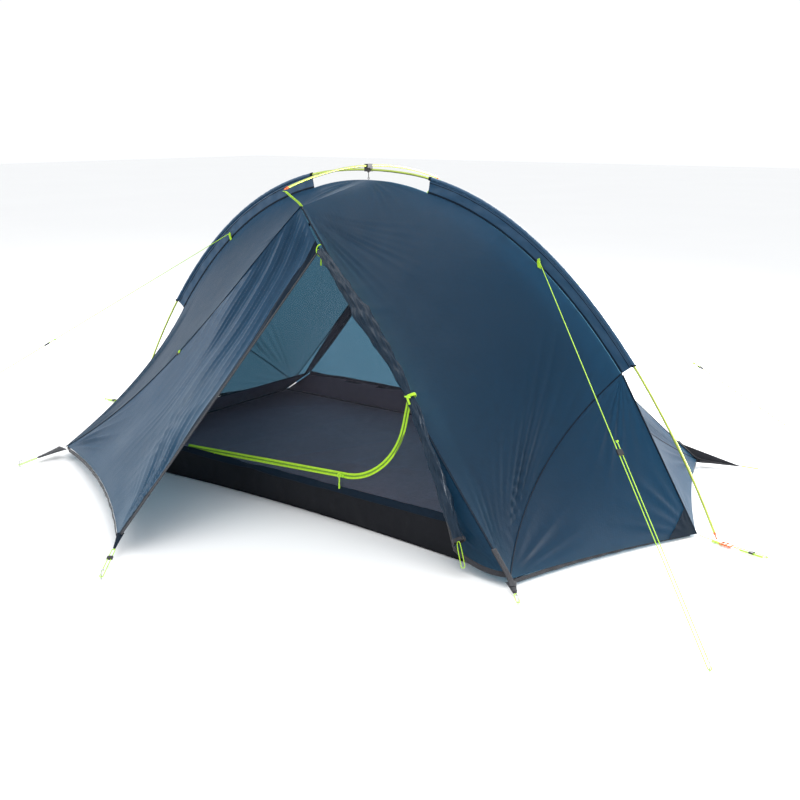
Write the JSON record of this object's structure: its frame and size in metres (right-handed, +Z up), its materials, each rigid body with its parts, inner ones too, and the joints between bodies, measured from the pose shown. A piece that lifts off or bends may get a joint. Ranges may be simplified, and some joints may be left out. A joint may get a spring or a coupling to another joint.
{
  "type": "two-person hoop tent",
  "caption": "Pitched two-person tent: one long arched pole, a short brow pole, coated fly with a half-open vestibule, mesh inner, guy lines and pegs.",
  "frame": {"origin": "underside of the groundsheet, below the crown of the main pole", "axes": "+X along the main pole, to the right when facing the vestibule; -Y towards the vestibule; +Z up"},
  "size_m": [3.5383, 2.8199, 1.1438],
  "materials": {
    "pole_tube": "satin anodised lime green",
    "ferrule_alloy": "satin",
    "shock_cord": "braided elastic cord",
    "orange_plastic": "glossy moulded",
    "lime_webbing": "woven tape",
    "black_plastic": "moulded",
    "sleeve_fabric": "coated ripstop, dark navy",
    "fly_fabric": "coated nylon, slate blue, slight sheen",
    "grey_webbing": "woven tape, dark grey",
    "lime_zip": "moulded coil and slider",
    "lime_cord": "braided cord with bright flecks",
    "tub_fabric": "coated nylon, near black",
    "mesh_fabric": "fine insect mesh",
    "peg_alloy": "satin"
  },
  "bodies": {
    "tent": {"main_pole_sections": "pole_tube", "pole_ferrules": "ferrule_alloy", "pole_shock_cord": "shock_cord", "pole_tips": "orange_plastic", "brow_webbing": "lime_webbing", "crown_hub_base": "black_plastic", "hub_rivet": "ferrule_alloy", "crown_hook": "black_plastic", "sleeve_left": "sleeve_fabric", "sleeve_right": "sleeve_fabric", "fly_front_left": "fly_fabric", "fly_front_right": "fly_fabric", "fly_rear_left": "fly_fabric", "fly_rear_right": "fly_fabric", "fly_end_left": "fly_fabric", "fly_end_right": "fly_fabric", "fly_rear_wall": "fly_fabric", "fly_hem": "grey_webbing", "vestibule_rolled_door": "fly_fabric", "tieback": "lime_webbing", "corner_webbing": "grey_webbing", "corner_loops": "lime_cord", "pole_end_straps": "lime_cord", "pole_end_buckles": "orange_plastic", "inner_floor": "tub_fabric", "tub_walls": "tub_fabric", "inner_front_mesh": "mesh_fabric", "inner_rear_mesh": "mesh_fabric", "inner_roof_left": "mesh_fabric", "inner_roof_right": "mesh_fabric", "inner_zip": "lime_zip", "inner_clips": "black_plastic", "guyline_front_left": "lime_cord", "guyline_front_right": "lime_cord", "guyline_rear_left": "lime_cord", "guyline_rear_right": "lime_cord", "pegs": "peg_alloy"},
    "brow": {"brow_pole_sections": "pole_tube", "brow_ferrules": "ferrule_alloy", "brow_shock_cord": "shock_cord", "brow_tips": "orange_plastic", "crown_hub_saddle": "black_plastic"},
    "door_flap": {"vestibule_door": "fly_fabric", "door_zip": "grey_webbing", "door_hem": "grey_webbing", "door_tip_webbing": "grey_webbing", "door_tip_cord": "lime_cord"},
    "door_slider": {"vestibule_slider": "lime_zip"},
    "door_pull": {"vestibule_pull": "lime_cord"},
    "tip_adjuster": {"door_tip_adjuster": "black_plastic"},
    "mesh_door": {"inner_door": "mesh_fabric"},
    "mesh_slider": {"inner_slider": "lime_zip"},
    "mesh_pull": {"inner_pull": "lime_cord"},
    "foot_adjuster_left": {"pole_end_adjuster_left": "black_plastic"},
    "foot_adjuster_right": {"pole_end_adjuster_right": "black_plastic"},
    "tensioner_fl": {"tensioner_front_left": "black_plastic"},
    "tensioner_fr": {"tensioner_front_right": "black_plastic"},
    "tensioner_rl": {"tensioner_rear_left": "black_plastic"},
    "tensioner_rr": {"tensioner_rear_right": "black_plastic"}
  },
  "joints": [
    {"name": "brow_swivel", "type": "hinge", "parent": "tent", "child": "brow", "pos_m": [0, 0, 1.137], "axis": [0, 0, 1], "range_deg": [-85, 85]},
    {"name": "vestibule_flap", "type": "hinge", "parent": "tent", "child": "door_flap", "pos_m": [0, -0.374, 1.01], "axis": [-0.6982, -0.2276, -0.6787], "range_deg": [0, 120]},
    {"name": "vestibule_zip", "type": "slide", "parent": "door_flap", "child": "door_slider", "axis": [-0.1198, -0.6934, -0.7105], "range_m": [0, 1.09]},
    {"name": "vestibule_pull_swing", "type": "hinge", "parent": "door_slider", "child": "door_pull", "pos_m": [0.12127, -0.41383, 0.86101], "axis": [1, 0, 0], "range_deg": [-8, 80]},
    {"name": "tip_cord_adjust", "type": "slide", "parent": "door_flap", "child": "tip_adjuster", "axis": [0.5688, -0.7963, -0.2062], "range_m": [-0.02, 0.05]},
    {"name": "mesh_door_swing", "type": "hinge", "parent": "tent", "child": "mesh_door", "pos_m": [-0.387, -0.5962, 0.13138], "axis": [-0.5178, -0.2705, -0.8116], "range_deg": [0, 32]},
    {"name": "mesh_zip", "type": "slide", "parent": "tent", "child": "mesh_slider", "axis": [-0.9986, -0.0165, -0.0495], "range_m": [0, 0.7]},
    {"name": "mesh_pull_swing", "type": "hinge", "parent": "mesh_slider", "child": "mesh_pull", "pos_m": [0.352, -0.6068, 0.16917], "axis": [1, 0, 0], "range_deg": [-68, 5]},
    {"name": "foot_cord_adjust_left", "type": "slide", "parent": "tent", "child": "foot_adjuster_left", "axis": [-0.9754, -0.2199, 0.0186], "range_m": [-0.035, 0.025]},
    {"name": "foot_cord_adjust_right", "type": "slide", "parent": "tent", "child": "foot_adjuster_right", "axis": [0.9754, -0.2199, 0.0186], "range_m": [-0.035, 0.025]},
    {"name": "guy_tension_front_left", "type": "slide", "parent": "tent", "child": "tensioner_fl", "axis": [-0.6638, -0.5508, -0.5059], "range_m": [-0.01, 0.2]},
    {"name": "guy_tension_front_right", "type": "slide", "parent": "tent", "child": "tensioner_fr", "axis": [0.637, -0.5357, -0.5543], "range_m": [-0.01, 0.2]},
    {"name": "guy_tension_rear_left", "type": "slide", "parent": "tent", "child": "tensioner_rl", "axis": [-0.2486, 0.8379, -0.4859], "range_m": [-0.01, 0.2]},
    {"name": "guy_tension_rear_right", "type": "slide", "parent": "tent", "child": "tensioner_rr", "axis": [0.2541, 0.8363, -0.4859], "range_m": [-0.01, 0.2]}
  ]
}
